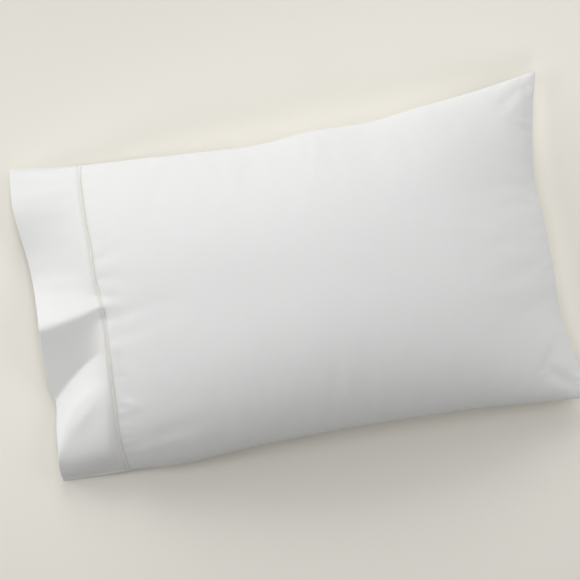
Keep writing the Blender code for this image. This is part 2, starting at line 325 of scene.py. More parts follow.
def smooth_through(keys, values, at, sharp=()):
    """Smooth curve through the values at the rising keys. It may break at the sharp rows."""
    at = np.clip(np.asarray(at, float), keys[0], keys[-1])
    i = np.clip(np.searchsorted(keys, at, side="right") - 1, 0, len(keys) - 2)
    span = keys[i + 1] - keys[i]
    share = (at - keys[i]) / span
    chord = (values[i + 1] - values[i]) / span
    slopes = np.gradient(values, keys)
    breaks = np.isin(np.arange(len(keys)), sharp)
    start = np.where(breaks[i], chord, slopes[i])
    end = np.where(breaks[i + 1], chord, slopes[i + 1])
    square, cube = share**2, share**3
    return (
        (2 * cube - 3 * square + 1) * values[i]
        + (cube - 2 * square + share) * span * start
        + (3 * square - 2 * cube) * values[i + 1]
        + (cube - square) * span * end
    )


# ---- form of the body


def seam_x(y):
    return smooth_through(column(SEAM_LINE, "y"), column(SEAM_LINE, "x"), y)


def end_x(y):
    return smooth_through(column(END_LINE, "y"), column(END_LINE, "x"), y)


def edge_y(x, t):
    """Y of the side edge at x, on the side that t is on."""
    keys = column(SIDE_EDGES, "x")
    plus = smooth_through(keys, column(SIDE_EDGES, "y_plus"), x)
    minus = smooth_through(keys, column(SIDE_EDGES, "y_minus"), x)
    return np.where(t >= 0, plus, minus)


def half_seam(u):
    return mix(BEND_HALF, SEAM_HALF, np.minimum(u / SEAM_TAPER, 1.0))


def plan(u, t):
    side = np.where(t >= 0, 1.0, -1.0)
    y = np.abs(t) * (edge_y(mix(SEAM_X, EAR_X, u), t) - side * half_seam(u))
    return mix(seam_x(y) + SEAM_ROOM, end_x(y), u), y


def body_height(name, u):
    return smooth_through(column(BODY_HEIGHTS, "u"), column(BODY_HEIGHTS, name), u)


def rim_height(u, t):
    side = mix(body_height("rim_minus", u), body_height("rim_plus", u), (t + 1) / 2)
    return side + END_LIFT * u**END_LIFT_POWER * (1 - t * t)


def swell(u, t):
    """0 on the seams and 1 over the middle of the body."""
    across = np.maximum(1 - np.abs(t) ** SIDE_POWER, 0.0) ** SIDE_ROUND
    along = np.maximum(1 - u**END_POWER, 0.0) ** END_ROUND
    return across * along


def along_line(line, x, y):
    """How far along a line each point lies, from 0 to 1, and its distance from the line."""
    run_x, run_y = line.x_to - line.x_from, line.y_to - line.y_from
    reach_x, reach_y = x - line.x_from, y - line.y_from
    share = ramp(reach_x * run_x + reach_y * run_y, run_x**2 + run_y**2)
    return share, np.hypot(reach_x - share * run_x, reach_y - share * run_y)


def ear_ridges(x, y):
    total = 0.0
    for ridge in EAR_RIDGES:
        share, away = along_line(ridge, x, y)
        run_x, run_y = ridge.x_to - ridge.x_from, ridge.y_to - ridge.y_from
        on_left = run_x * (y - ridge.y_from) > run_y * (x - ridge.x_from)
        width = np.where(on_left, ridge.left, ridge.right)
        total = total + ridge.height * share * bell(away, width)
    return total


def pinch(past_seam, y):
    side = np.maximum(0.0, 1 - np.abs(y - PINCH_Y) / PINCH_HALF_WIDTH)
    return PINCH_HEIGHT * side * np.exp(-np.maximum(past_seam, 0.0) / PINCH_FADE)


def top_height(u, t):
    x, y = plan(u, t)
    full = swell(u, t)
    rise = body_height("crown", u) - body_height("rim_plus", u)
    ridges = ear_ridges(x, y) * np.minimum(1.0, full / RIDGE_SWELL)
    past_seam = x - seam_x(y) - SEAM_ROOM
    return rim_height(u, t) + half_seam(u) + rise * full + ridges + pinch(past_seam, y)


def bottom_height(x, u, t, rim):
    """The bottom cloth lies on the floor and curls up to the rim near the seams."""
    side, end = ramp(np.abs(t) - FLAT_T, 1 - FLAT_T), ramp(u - FLAT_U, 1 - FLAT_U)
    near = (side**BOTTOM_CORNER + end**BOTTOM_CORNER) ** (1 / BOTTOM_CORNER)
    floor = FRONT_LIFT * np.maximum(0.0, 1 - np.abs(x - SEAM_X) / FRONT_RUN) ** 2
    return floor + (rim - floor) * np.minimum(near, 1.0) ** BOTTOM_CURL


# ---- the rings


def side_bend(corner, half, side):
    """Half circle from the top cloth down to the bottom one, or back up on the +Y side."""
    angles = np.linspace(0, math.pi, BEND_STEPS + 1)[1:-1]
    points = np.repeat(corner[None, :], len(angles), axis=0)
    points[:, 1] += side * half * np.sin(angles)
    points[:, 2] -= side * half * np.cos(angles)
    return points


def closed_ring(top, bottom, half):
    """Joins a top row (+Y to -Y) and a bottom row (-Y to +Y) by the two side bends."""
    lift = np.array((0.0, 0.0, half))
    far_bend = side_bend(bottom[0] + lift, half, -1)
    near_bend = side_bend(bottom[-1] + lift, half, 1)
    return np.concatenate((top, far_bend, bottom, near_bend))


def cloth_rows(u, shares):
    """The top cloth's and the bottom cloth's points at u, both from +Y to -Y."""
    x, y = plan(u, shares)
    top = np.stack((x, y, top_height(u, shares)), axis=1)
    low = bottom_height(x, u, shares, rim_height(u, shares) - half_seam(u))
    return top, np.stack((x, y, low), axis=1)


def body_ring(u, shares):
    top, bottom = cloth_rows(u, shares)
    return closed_ring(top, bottom[::-1], float(half_seam(u)))


def moved(ring, x):
    return ring + np.array((x, 0.0, 0.0))


def shrunk(ring, depth, inset_y, inset_z):
    """The body's first ring drawn in to make a ring of its end inside the cuff."""
    low, high = ring.min(axis=0), ring.max(axis=0)
    middle, half = (low + high) / 2, (high - low) / 2
    points = ring.copy()
    points[:, 0] -= depth
    for axis, inset in ((1, inset_y), (2, inset_z)):
        points[:, axis] = middle[axis] + (ring[:, axis] - middle[axis]) * (1 - inset / half[axis])
    return points


def sunk(ring, depth):
    """A ring moved towards its inside, square to itself in the YZ plane."""
    run = np.roll(ring, -1, axis=0) - np.roll(ring, 1, axis=0)
    run /= np.hypot(run[:, 1], run[:, 2])[:, None]
    points = ring.copy()
    points[:, 1] -= depth * run[:, 2]
    points[:, 2] += depth * run[:, 1]
    return points


def fold_value(name, step):
    """A column of the fold table, read smoothly at a step across the cuff."""
    keys = np.cumsum(column(FOLD_LINES, "steps"))
    sharp = [i for i, line in enumerate(FOLD_LINES) if line.sharp]
    breaks = sharp if name in ("z_seam", "z_mouth") else ()
    return smooth_through(keys, column(FOLD_LINES, name), step, breaks)


def fold_shares(steps):
    places = fold_value("y_seam", steps)
    ends = FOLD_LINES[0].y_seam, -FOLD_LINES[-1].y_seam
    return np.where(places >= 0, places / ends[0], places / ends[1])


def cuff_ring(v, steps):
    """A ring of the cuff's outer face, from its sewn edge at v = 0 to the mouth at v = 1."""
    shares = fold_shares(steps)
    onset = 1 - math.exp(-v / FOLD_ONSET)
    y_seam = fold_value("y_seam", steps)
    y = mix(y_seam, fold_value("y_mouth", steps), v) + fold_value("bow", steps) * 4 * v * (1 - v)
    x = mix(seam_x(y_seam) - SEAM_ROOM - SEWN_EDGE, fold_value("x_mouth", steps), v)
    folds = mix(fold_value("z_seam", steps), fold_value("z_mouth", steps), v)
    top = np.stack((x, y, mix(top_height(0.0, shares), folds, onset)), axis=1)
    far, near = top[-1], top[0]
    place = (shares[::-1] + 1) / 2
    low_y = mix(far[1], near[1], place)
    mouth = mix(FOLD_LINES[-1].x_mouth, FOLD_LINES[0].x_mouth, place)
    draw_in = MOUTH_DRAW_IN * (1 - shares[::-1] ** 2)
    low_x = mix(seam_x(low_y) - SEAM_ROOM - SEWN_EDGE, mouth + draw_in, v)
    rim = mix(far[2], near[2], place) - 2 * BEND_HALF
    low = bottom_height(low_x, 0.0, shares[::-1], rim)
    bottom = np.stack((low_x, low_y, low), axis=1)
    return closed_ring(top, bottom, BEND_HALF)


# ---- mesh helpers


def grid_quads(count, across, looped=False):
    """Quads between rings that are closed on themselves, as pairs of ring and place."""
    rows = np.arange(count if looped else count - 1)[:, None]
    places = np.arange(across)[None, :]
    rows, places = np.broadcast_arrays(rows, places)
    corners = ((rows, places), (rows + 1, places), (rows + 1, places + 1), (rows, places + 1))
    return np.stack([np.stack(corner, axis=2) for corner in corners], axis=2).reshape(-1, 4, 2)


def closed(rings):
    """Rings that end with their first point once more."""
    return np.concatenate((rings, rings[:, :1]), axis=1)


def run_lengths(points, axis):
    """Length run along a grid of points from its first one, in metres."""
    gaps = np.linalg.norm(np.diff(points, axis=axis), axis=2)
    return np.insert(np.cumsum(gaps, axis=axis), 0, 0.0, axis=axis)


def cloth_plan(rings):
    """Where each point lies in its flat cloth, in metres. The first point comes twice."""
    across = run_lengths(closed(rings), 1)
    middle = across[:, across.shape[1] // 4][:, None]
    return np.stack((run_lengths(closed(rings), 0), across - middle), axis=2)


def new_object(name, data):
    obj = bpy.data.objects.new(name, data)
    bpy.context.scene.collection.objects.link(obj)
    return obj


def mesh_object(name, rings, quads, caps=()):
    count, across = rings.shape[:2]
    faces = quads[:, :, 0] % count * across + quads[:, :, 1] % across
    mesh = bpy.data.meshes.new(name)
    mesh.from_pydata(rings.reshape(-1, 3).tolist(), [], faces.tolist() + list(caps))
    return new_object(name, mesh)


def skin(name, rings, flat, near_trim, quads, caps=()):
    """A smooth-shaded mesh object. Its UV map is the cloth's flat plan."""
    count, across = rings.shape[:2]
    obj = mesh_object(name, rings, quads, caps)
    shade = obj.data.attributes.new(name=NEAR_TRIM, type="FLOAT", domain="POINT")
    shade.data.foreach_set("value", near_trim.ravel())
    corners = flat[quads[:, :, 0] % count, quads[:, :, 1]].reshape(-1, 2)
    spare = [flat[:1, i % across] for cap in caps for i in cap]
    layer = obj.data.uv_layers.new(name=CLOTH_PLAN)
    layer.data.foreach_set("uv", np.concatenate((corners, *spare)).ravel())
    closed_up(obj)
    return obj


def closed_up(obj):
    """Merges the points that a closed seam has twice, and turns all faces outwards."""
    form = bmesh.new()
    form.from_mesh(obj.data)
    bmesh.ops.remove_doubles(form, verts=form.verts, dist=MERGE)
    bmesh.ops.recalc_face_normals(form, faces=form.faces)
    form.to_mesh(obj.data)
    form.free()
    obj.data.shade_smooth()


def grid_normals(rings):
    """Outward normals of rings that run along +X, each ring closed on itself."""
    along = np.gradient(rings, axis=0)
    across = np.roll(rings, -1, axis=1) - np.roll(rings, 1, axis=1)
    normals = np.cross(across, along)
    return normals / np.maximum(np.linalg.norm(normals, axis=2, keepdims=True), NO_LENGTH)


def raised(rings, amount):
    """Moves each point outwards by its own amount."""
    return rings + grid_normals(rings) * amount[:, :, None]


# ---- finishes


def feed(tree, node, inputs):
    """Links inputs of a node to sockets, or sets them to values."""
    for name, source in inputs.items():
        if isinstance(source, bpy.types.NodeSocket):
            tree.links.new(source, node.inputs[name])
        else:
            node.inputs[name].default_value = source


def fed_node(tree, kind, inputs, **settings):
    node = tree.nodes.new(kind)
    for name, value in settings.items():
        setattr(node, name, value)
    feed(tree, node, inputs)
    return node


def maths(tree, operation, *sources):
    inputs = dict(enumerate(sources))
    return fed_node(tree, "ShaderNodeMath", inputs, operation=operation).outputs[0]


def noise(tree, place, scale, detail):
    inputs = {"Vector": place, "Scale": scale, "Detail": detail}
    return fed_node(tree, "ShaderNodeTexNoise", inputs).outputs["Fac"]


def mixed(tree, share, first, second, **settings):
    inputs = {"Factor": share, MIX_A: first, MIX_B: second}
    node = fed_node(tree, "ShaderNodeMix", inputs, data_type="RGBA", **settings)
    return node.outputs[MIX_RESULT]


def two_tones(tree, share, colour, difference):
    """A colour that runs from a little darker to a little lighter."""
    low, high = [(*(Vector(colour) * (1 + step)), 1.0) for step in (-difference, difference)]
    return mixed(tree, share, low, high)


def weave_height(tree, uv, pitch):
    """Height of a plain weave, with threads that run along U and along V."""
    split = fed_node(tree, "ShaderNodeSeparateXYZ", {"Vector": uv})
    turns = 2 * math.pi / pitch
    warp, weft = [
        maths(tree, "SINE", maths(tree, "MULTIPLY", split.outputs[axis], turns)) for axis in "XY"
    ]
    return maths(tree, "MULTIPLY", warp, weft)


def uneven_threads(tree, uv, stretch, seed):
    """Noise drawn out along the threads of one direction."""
    inputs = {"Vector": uv, "Location": (seed, seed, seed), "Scale": (*stretch, 1.0)}
    place = fed_node(tree, "ShaderNodeMapping", inputs).outputs["Vector"]
    return noise(tree, place, 1.0, WEAVE_DETAIL)


def new_finish(name, roughness, gloss):
    """A new material, its node tree and its shader."""
    material = bpy.data.materials.new(name)
    material.use_nodes = True
    tree = material.node_tree
    shader = tree.nodes["Principled BSDF"]
    feed(tree, shader, {"Roughness": roughness, "Specular IOR Level": gloss})
    return material, tree, shader


def surface(tree, shader, colour, height, strength, distance):
    """Gives a shader its colour and a relief of a strength and a height in metres."""
    inputs = {"Height": height, "Strength": strength, "Distance": distance}
    relief = fed_node(tree, "ShaderNodeBump", inputs).outputs["Normal"]
    feed(tree, shader, {"Base Color": colour, "Normal": relief})


def cotton_finish(look):
    """White cotton: a fine plain weave, threads of uneven thickness and a soft sheen."""
    material, tree, shader = new_finish(COTTON, look.roughness, look.gloss)
    feed(tree, shader, {"Sheen Weight": look.sheen, "Sheen Roughness": SHEEN_ROUGHNESS})
    uv = fed_node(tree, "ShaderNodeUVMap", {}, uv_map=CLOTH_PLAN).outputs["UV"]
    warp = uneven_threads(tree, uv, THREAD_STRETCH, WARP_SEED)
    weft = uneven_threads(tree, uv, THREAD_STRETCH[::-1], WEFT_SEED)
    threads = maths(tree, "ADD", warp, weft)
    low, high = THREAD_RANGE
    inputs = {"Value": threads, "From Min": low, "From Max": high}
    shade = fed_node(tree, "ShaderNodeMapRange", inputs).outputs["Result"]
    white = two_tones(tree, shade, look.colour, look.unevenness)
    # Within the seam reach of the trim the cotton is multiplied by the seam tint, which only
    # makes it darker and a little beige there.
    near = fed_node(tree, "ShaderNodeAttribute", {}, attribute_name=NEAR_TRIM).outputs["Fac"]
    tinted = mixed(tree, near, white, (*look.seam_tint, 1.0), blend_type="MULTIPLY")
    height = maths(tree, "ADD", weave_height(tree, uv, look.thread_pitch), threads)
    relief = look.thread_pitch * WEAVE_RELIEF
    surface(tree, shader, tinted, height, look.weave_strength, relief)
    return material


def thread_finish(look):
    """Beige sewing thread with a faint gloss, whose turns differ a little in tone."""
    material, tree, shader = new_finish(THREAD, look.roughness, look.gloss)
    place = tree.nodes.new("ShaderNodeTexCoord").outputs["Object"]
    tone = noise(tree, place, TONE_SCALE, TONE_DETAIL)
    beige = two_tones(tree, tone, look.colour, THREAD_TONES)
    surface(tree, shader, beige, tone, THREAD_BUMP, THREAD_RELIEF)
    return material


def finish_once(name, maker, look):
    return bpy.data.materials.get(name) or maker(look)


# ---- the body's cloth


def places_along(length, coarse, both_ends):
    """Places from 0 to a length, close together at 0, and at the other end if asked for."""
    steps = [FINE_STEP]
    while steps[-1] * STEP_GROWTH < coarse:
        steps.append(steps[-1] * STEP_GROWTH)
    start = np.cumsum(steps)
    end = length - start[::-1] if both_ends else np.array([length])
    count = max(int(round((end[0] - start[-1]) / coarse)), 1)
    between = np.linspace(start[-1], end[0], count + 1)[1:-1]
    return np.unique(np.concatenate(([0.0], start, between, end, [length])))


def body_shares():
    return np.sin(np.linspace(1, -1, BODY_COLUMNS + 1) * math.pi / 2)


def body_places():
    return places_along(BODY_LENGTH, COARSE_STEP, both_ends=True)


def body_rings():
    """Rings of the body from its end inside the cuff to the seam of the closed end."""
    shares = body_shares()
    first = body_ring(0.0, shares)
    depths = column(END_RINGS, "depth")
    rings = []
    for place in np.linspace(1, 0, INNER_RINGS):
        depth = depths[-1] * math.sin(place * math.pi / 2)
        inset_y = smooth_through(depths, column(END_RINGS, "inset_y"), depth)
        inset_z = smooth_through(depths, column(END_RINGS, "inset_z"), depth)
        rings.append(shrunk(first, depth, inset_y, inset_z))
    rings += [sunk(moved(first, -tuck.inwards), tuck.depth) for tuck in reversed(TUCKS)]
    rings += [body_ring(place / BODY_LENGTH, shares) for place in body_places()]
    return np.concatenate((rings, end_seam(rings[-1], shares)))


def end_seam(last, shares):
    """Rings that close the end seam round its own thickness."""
    half = float(half_seam(1.0))
    count, bend = len(shares), BEND_STEPS - 1
    rim = rim_height(1.0, shares)
    rim_z = np.concatenate((rim, np.full(bend, rim[-1]), rim[::-1], np.full(bend, rim[0])))
    edge = np.clip(last[:, 1], last[count - 1, 1], last[0, 1])
    rings = []
    for angle in np.linspace(0, math.pi / 2, SEAM_STEPS + 1)[1:]:
        ring = last.copy()
        ring[:, 0] += half * math.sin(angle)
        ring[:, 1] = edge + (last[:, 1] - edge) * math.cos(angle)
        ring[:, 2] = rim_z + (last[:, 2] - rim_z) * math.cos(angle)
        rings.append(ring)
    return rings


class Distances:
    """How far each point of the body's rings lies from its seams, measured on the cloth."""

    def __init__(self, rings):
        around = run_lengths(closed(rings), 1)
        around, girth = around[:, :-1], around[:, -1:]
        far = BODY_COLUMNS + BEND_STEPS // 2
        near = 2 * BODY_COLUMNS + BEND_STEPS + BEND_STEPS // 2
        gaps = [np.abs(around - around[:, i : i + 1]) for i in (far, near)]
        self.side = np.min([np.minimum(gap, girth - gap) for gap in gaps], axis=0)
        along = run_lengths(rings, 0)
        self.end = along[-1:] - along
        first = INNER_RINGS + len(TUCKS)
        self.past_trim = along - along[first : first + 1]


def eased(rings, weight, axis, times):
    """Smooths rings along one direction, as strongly as the weight of each point says."""
    for _ in range(times):
        around = np.roll(rings, 1, axis=axis) + np.roll(rings, -1, axis=axis)
        change = (around / 2 - rings) / 2
        if axis == 0:
            change[[0, -1]] = 0.0
        rings = rings + change * weight[:, :, None]
    return rings


def sewn(rings, form):
    """Turns the stiff sewn edges into soft cloth that meets in the fine line of a seam."""
    away = Distances(rings)
    keep_trim = ramp(away.past_trim, TRIM_CLEAR)
    keep_trim[-1] = 0.0
    rings = eased(rings, bell(away.side, form.seam_ease) * keep_trim, 1, form.seam_softness)
    rings = eased(rings, bell(away.end, form.seam_ease) * keep_trim, 0, form.seam_softness)
    away = Distances(rings)
    groove = form.seam_groove * bell(np.minimum(away.side, away.end), GROOVE_WIDTH)
    roll = form.trim_roll * bell(away.past_trim, ROLL_WIDTH)
    return shut(raised(rings, -(groove * ramp(away.past_trim, TRIM_CLEAR) + roll)))


def shut(rings):
    """Brings the last ring's upper and lower cloth together in one line."""
    count, bend = BODY_COLUMNS + 1, BEND_STEPS - 1
    last = rings[-1]
    line = (last[:count] + last[count + bend : 2 * count + bend][::-1]) / 2
    far, near = np.repeat(line[-1:], bend, axis=0), np.repeat(line[:1], bend, axis=0)
    rings[-1] = np.concatenate((line, far, line[::-1], near))
    return rings


def end_cap(count, bend):
    """Closes the innermost ring by strips between its top row and its bottom row."""
    low = 2 * count + bend - 1
    strips = [(i, i + 1, low - i - 1, low - i) for i in range(count - 1)]
    far = tuple(range(count - 1, count + bend + 1))
    near = (*range(low, low + bend + 1), 0)
    return [*strips, far, near]


def creased(rings, creases):
    """Adds the listed creases to the cloth that faces up."""
    x, y = rings[:, :, 0], rings[:, :, 1]
    total = np.zeros_like(x)
    for crease in creases:
        share, away = along_line(crease, x, y)
        total += crease.height * np.sin(share * math.pi) * bell(away, crease.width)
    return raised(rings, total * ramp(grid_normals(rings)[:, :, 2], FACING_UP))


def uneven_waves(place, pitch, seed):
    """Waves of many lengths about a pitch, from -1 to 1 or so, along a sewn edge."""
    chance = np.random.default_rng(seed)
    total = np.zeros_like(place)
    for _ in range(WAVES):
        length = pitch * chance.uniform(*WAVE_LENGTHS)
        total += np.sin(2 * math.pi * (place / length + chance.random()))
    return total / math.sqrt(WAVES)


def puckered(rings, form):
    """Adds the small waves that sewing leaves in the cloth along the seams."""
    away = Distances(rings)
    x, y = rings[:, :, 0], rings[:, :, 1]
    upper = np.arange(rings.shape[1]) <= BODY_COLUMNS + BEND_STEPS // 2
    reach, pitch = form.pucker_reach, form.pucker_pitch
    total = np.zeros_like(x)
    edges = (
        (x, away.side, (y > 0) & upper),
        (x, away.side, (y <= 0) & upper),
        (x, away.side, (y > 0) & ~upper),
        (x, away.side, (y <= 0) & ~upper),
        (y, away.end, upper),
        (y, away.end, ~upper),
        (y, away.past_trim, upper),
        (y, away.past_trim, ~upper),
    )
    for seed, (place, distance, part) in enumerate(edges, PUCKER_SEED):
        waves = uneven_waves(place, pitch, seed) * part
        total += waves * bell(distance, reach) * ramp(distance, reach * PUCKER_ONSET)
    total *= ramp(away.past_trim, TRIM_STILL) * ramp(away.end, SEAM_STILL)
    total *= ramp(away.side, SEAM_STILL)
    return raised(rings, form.pucker_height * total)


# ---- the filling's wrinkles


def filling_ring(u, shares):
    """A ring of coarse cloth, whose top and bottom meet in one line at the seams."""
    top, bottom = cloth_rows(u, shares)
    joined = (np.abs(shares) == 1) | (u == 1)
    top[joined] = bottom[joined] = (top + bottom)[joined] / 2
    return np.concatenate((top, bottom[-2:0:-1]))


def filling_object(rings):
    """The coarse cloth as an object, pinned along its seams and at the cuff."""
    count, across = rings.shape[:2]
    places = np.arange(count * across).reshape(count, across)
    edges = (places[0], places[-1], places[:, 0], places[:, FILL_COLUMNS])
    pinned = np.unique(np.concatenate(edges))
    shake = np.random.default_rng(FILL_SEED).normal(scale=FILL_SHAKE, size=rings.shape)
    shake.reshape(-1, 3)[pinned] = 0.0
    obj = mesh_object("filling", rings + shake, grid_quads(count, across)[:, ::-1])
    obj.vertex_groups.new(name="sewn").add(pinned.tolist(), 1.0, "REPLACE")
    return obj


def blown_up(rings, pressure):
    """How far the coarse cloth moves outwards in a cloth simulation with a pressure inside."""
    obj = filling_object(rings)
    cloth = obj.modifiers.new("cloth", "CLOTH")
    settings = cloth.settings
    settings.quality = FILL_QUALITY
    settings.mass = FILL_MASS
    settings.use_pressure = True
    settings.uniform_pressure_force = pressure
    settings.shrink_min = -FILL_SPARE
    settings.effector_weights.gravity = 0.0
    settings.vertex_group_mass = "sewn"
    cloth.collision_settings.use_collision = False
    cloth.point_cache.frame_end = FILL_FRAMES
    scene = bpy.context.scene
    for step in range(1, FILL_FRAMES + 1):
        scene.frame_set(step)
    result = obj.evaluated_get(bpy.context.evaluated_depsgraph_get()).data.vertices
    places = np.empty(rings.size)
    result.foreach_get("co", places)
    bpy.data.objects.remove(obj, do_unlink=True)
    scene.frame_set(1)
    return ((places.reshape(rings.shape) - rings) * grid_normals(rings)).sum(axis=2)


def fine_part(out, shares):
    """What varies along the nearest seam: the folds that run from it into the cloth."""
    even = np.ones_like(out)
    along_side, along_end = [
        out - eased(out[:, :, None], even, axis, FILL_SMOOTHING)[:, :, 0] for axis in (0, 1)
    ]
    rows = np.linspace(0, 1, len(out))[:, None]
    to_end = np.minimum(rows, 1 - rows) * BODY_LENGTH
    to_side = (1 - np.abs(np.concatenate((shares, shares[-2:0:-1])))) * HALF_WIDTH
    share = to_end**2 / np.maximum(to_end**2 + to_side**2, NO_AREA)
    return mix(along_end, along_side, share)


def resampled(keys, lines, at):
    return np.array([smooth_through(keys, line, at) for line in lines])


def wrinkled(rings, form):
    """Adds a share of the folds that the filling's pressure raises along the seams."""
    shares = np.linspace(1, -1, FILL_COLUMNS + 1)
    rows = np.linspace(0, 1, FILL_ROWS + 1)
    coarse = np.array([filling_ring(u, shares) for u in rows])
    folds = closed(fine_part(blown_up(coarse, form.fill_pressure), shares))
    half = FILL_COLUMNS + 1
    amount = np.zeros((len(body_places()), rings.shape[1]))
    low = BODY_COLUMNS + BEND_STEPS
    for part, first in ((folds[:, :half], 0), (folds[:, half - 1 :], low)):
        across = resampled(-shares, part, np.sort(body_shares()))
        amount[:, first : first + BODY_COLUMNS + 1] = resampled(
            rows, across.T, body_places() / BODY_LENGTH
        ).T
    amount = form.fold_cap * np.tanh(form.fold_share * amount / form.fold_cap)
    first = INNER_RINGS + len(TUCKS)
    body = slice(first, first + len(amount))
    lift = np.zeros(rings.shape[:2])
    lift[body] = amount * ramp(rings[body, :, 2], FILL_FREE)
    return raised(rings, lift)


class PILLOWCASE_OT_body(bpy.types.Operator):
    """Make the filled body's cotton cloth with its sewn edges, puckers and soft creases"""

    bl_idname = "pillowcase.body"
    bl_label = "Body"

    def execute(self, context):
        settings = context.scene.pillowcase
        rings = body_rings()
        rings = wrinkled(rings, settings.form)
        rings = creased(rings, BODY_CREASES)
        rings = sewn(puckered(rings, settings.form), settings.form)
        rings[:, :, 2] = np.maximum(rings[:, :, 2], 0.0)
        near = bell(Distances(rings).past_trim, settings.cotton.seam_reach)
        quads = grid_quads(*rings.shape[:2])
        caps = end_cap(BODY_COLUMNS + 1, BEND_STEPS - 1)
        obj = skin("case_body_cloth", rings, cloth_plan(rings), near, quads, caps)
        obj.data.materials.append(finish_once(COTTON, cotton_finish, settings.cotton))
        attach(obj, ONE_BODY)
        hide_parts(BODY_NODE)
        return {"FINISHED"}


# ---- the cuff


def cuff_rings(form):
    """Rings of the cuff's outer face from the mouth to its sewn edge."""
    total = sum(line.steps for line in FOLD_LINES)
    steps = np.linspace(0, total, total * CUFF_STEP_SPLITS + 1)
    shares = places_along(CUFF_DEPTH, CUFF_STEP, both_ends=False)[::-1] / CUFF_DEPTH
    rings = np.array([cuff_ring(v, steps) for v in shares])
    places = np.arange(rings.shape[1])
    top = (places > 0) & (places < len(steps) - 1)
    rings = eased(rings, top * shares[:, None] ** EASE_POWER, 1, form.fold_softness)
    collar = [moved(rings[-1], share * SEWN_EDGE) for share in COLLAR_SHARES]
    rings = np.concatenate((rings, collar))
    to_trim = run_lengths(rings, 0)
    to_trim = to_trim[-1:] - to_trim
    rings = eased(rings, bell(to_trim, COLLAR_EASE), 0, COLLAR_SOFTNESS)
    rings = raised(rings, -form.trim_roll * bell(to_trim, ROLL_WIDTH))
    tucks = [sunk(moved(rings[-1], tuck.inwards), tuck.depth) for tuck in TUCKS]
    return np.concatenate((rings, tucks))


def doubled(outer, thickness):
    """The cloth's inner face, its rounded lip at the mouth and its outer face, as rings."""
    normals = grid_normals(outer)
    inner = outer - normals * thickness
    half = thickness / 2
    ahead = outer[0] - outer[1]
    ahead /= np.linalg.norm(ahead, axis=1)[:, None]
    middle = (outer[0] + inner[0]) / 2
    lip = [
        middle + half * (ahead * math.sin(angle) - normals[0] * math.cos(angle))
        for angle in np.linspace(0, math.pi, LIP_STEPS + 1)[1:-1]
    ]
    return np.concatenate((inner[::-1], np.array(lip), outer))


def on_both_faces(outer):
    """Values of the outer face, given again to the lip and the inner face of its rings."""
    return np.concatenate((outer[::-1], np.repeat(outer[:1], LIP_STEPS - 1, axis=0), outer))


class PILLOWCASE_OT_cuff(bpy.types.Operator):
    """Make the empty cuff: one deep hem of cotton with its folds and an open mouth"""

    bl_idname = "pillowcase.cuff"
    bl_label = "Cuff"

    def execute(self, context):
        settings = context.scene.pillowcase
        outer = creased(cuff_rings(settings.form), CUFF_CREASES)
        rings = doubled(outer, settings.form.cloth)
        along = run_lengths(outer, 0)
        near = bell(along - along[-1 - len(TUCKS)], settings.cotton.seam_reach)
        flat = on_both_faces(cloth_plan(outer))
        quads = grid_quads(*rings.shape[:2], looped=True)
        obj = skin("cuff_cloth", rings, flat, on_both_faces(near), quads)
        obj.data.materials.append(finish_once(COTTON, cotton_finish, settings.cotton))
        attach(obj, ONE_BODY)
        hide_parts(CUFF_NODE)
        return {"FINISHED"}


# ---- the trim


def trim_tree():
    """A core wrapped in slanting turns of thread along a closed curve."""
    tree = bpy.data.node_groups.new("wrapped trim", "GeometryNodeTree")
    new_socket = tree.interface.new_socket
    new_socket(name="Route", in_out="INPUT", socket_type="NodeSocketGeometry")
    names = {}
    for name in ("Core radius", "Thread radius", "Thread pitch", "Slant", "Finish"):
        kind = "NodeSocketMaterial" if name == "Finish" else "NodeSocketFloat"
        names[name] = new_socket(name=name, in_out="INPUT", socket_type=kind).identifier
    new_socket(name="Trim", in_out="OUTPUT", socket_type="NodeSocketGeometry")
    given = tree.nodes.new("NodeGroupInput").outputs

    def step(kind, inputs, **settings):
        return fed_node(tree, kind, inputs, **settings).outputs[0]

    def circle(resolution, radius):
        inputs = {"Resolution": resolution, "Radius": radius}
        return step("GeometryNodeCurvePrimitiveCircle", inputs)

    def swept(route, profile):
        return step("GeometryNodeCurveToMesh", {"Curve": route, "Profile Curve": profile})

    route, core_radius = given["Route"], given["Core radius"]
    spaced = {"Curve": route, "Length": given["Thread pitch"]}
    even = step("GeometryNodeResampleCurve", spaced, mode="LENGTH")
    core = swept(route, circle(TRIM_SIDES, core_radius))
    ring = circle(TURN_STEPS, core_radius)
    turn = swept(ring, circle(THREAD_SIDES, given["Thread radius"]))
    align = "FunctionNodeAlignRotationToVector"
    facing = step(align, {"Vector": step("GeometryNodeInputTangent", {})}, axis="Z")
    upright = {"Rotation": facing, "Vector": step("GeometryNodeInputNormal", {})}
    level = step(align, upright, axis="X", pivot_axis="Z")
    lean = {"Axis": (0.0, 1.0, 0.0), "Angle": given["Slant"]}
    slanting = {"Rotation": level, "Rotate By": step("FunctionNodeAxisAngleToRotation", lean)}
    turned = step("FunctionNodeRotateRotation", slanting, rotation_space="LOCAL")
    placed = {"Points": even, "Instance": turn, "Rotation": turned}
    wraps = step("GeometryNodeInstanceOnPoints", placed)
    joined = fed_node(tree, "GeometryNodeJoinGeometry", {"Geometry": core})
    feed(tree, joined, {"Geometry": wraps})
    real = step("GeometryNodeRealizeInstances", {"Geometry": joined.outputs[0]})
    smooth = step("GeometryNodeSetShadeSmooth", {"Geometry": real})
    finished = {"Geometry": smooth, "Material": given["Finish"]}
    trim = step("GeometryNodeSetMaterial", finished)
    fed_node(tree, "NodeGroupOutput", {0: trim})
    return tree, names


def closed_curve(name, route):
    curve = bpy.data.curves.new(name, "CURVE")
    curve.dimensions = "3D"
    line = curve.splines.new("POLY")
    line.points.add(len(route) - 1)
    for point, place in zip(line.points, route):
        point.co = (*place, 1.0)
    line.use_cyclic_u = True
    return new_object(name, curve)


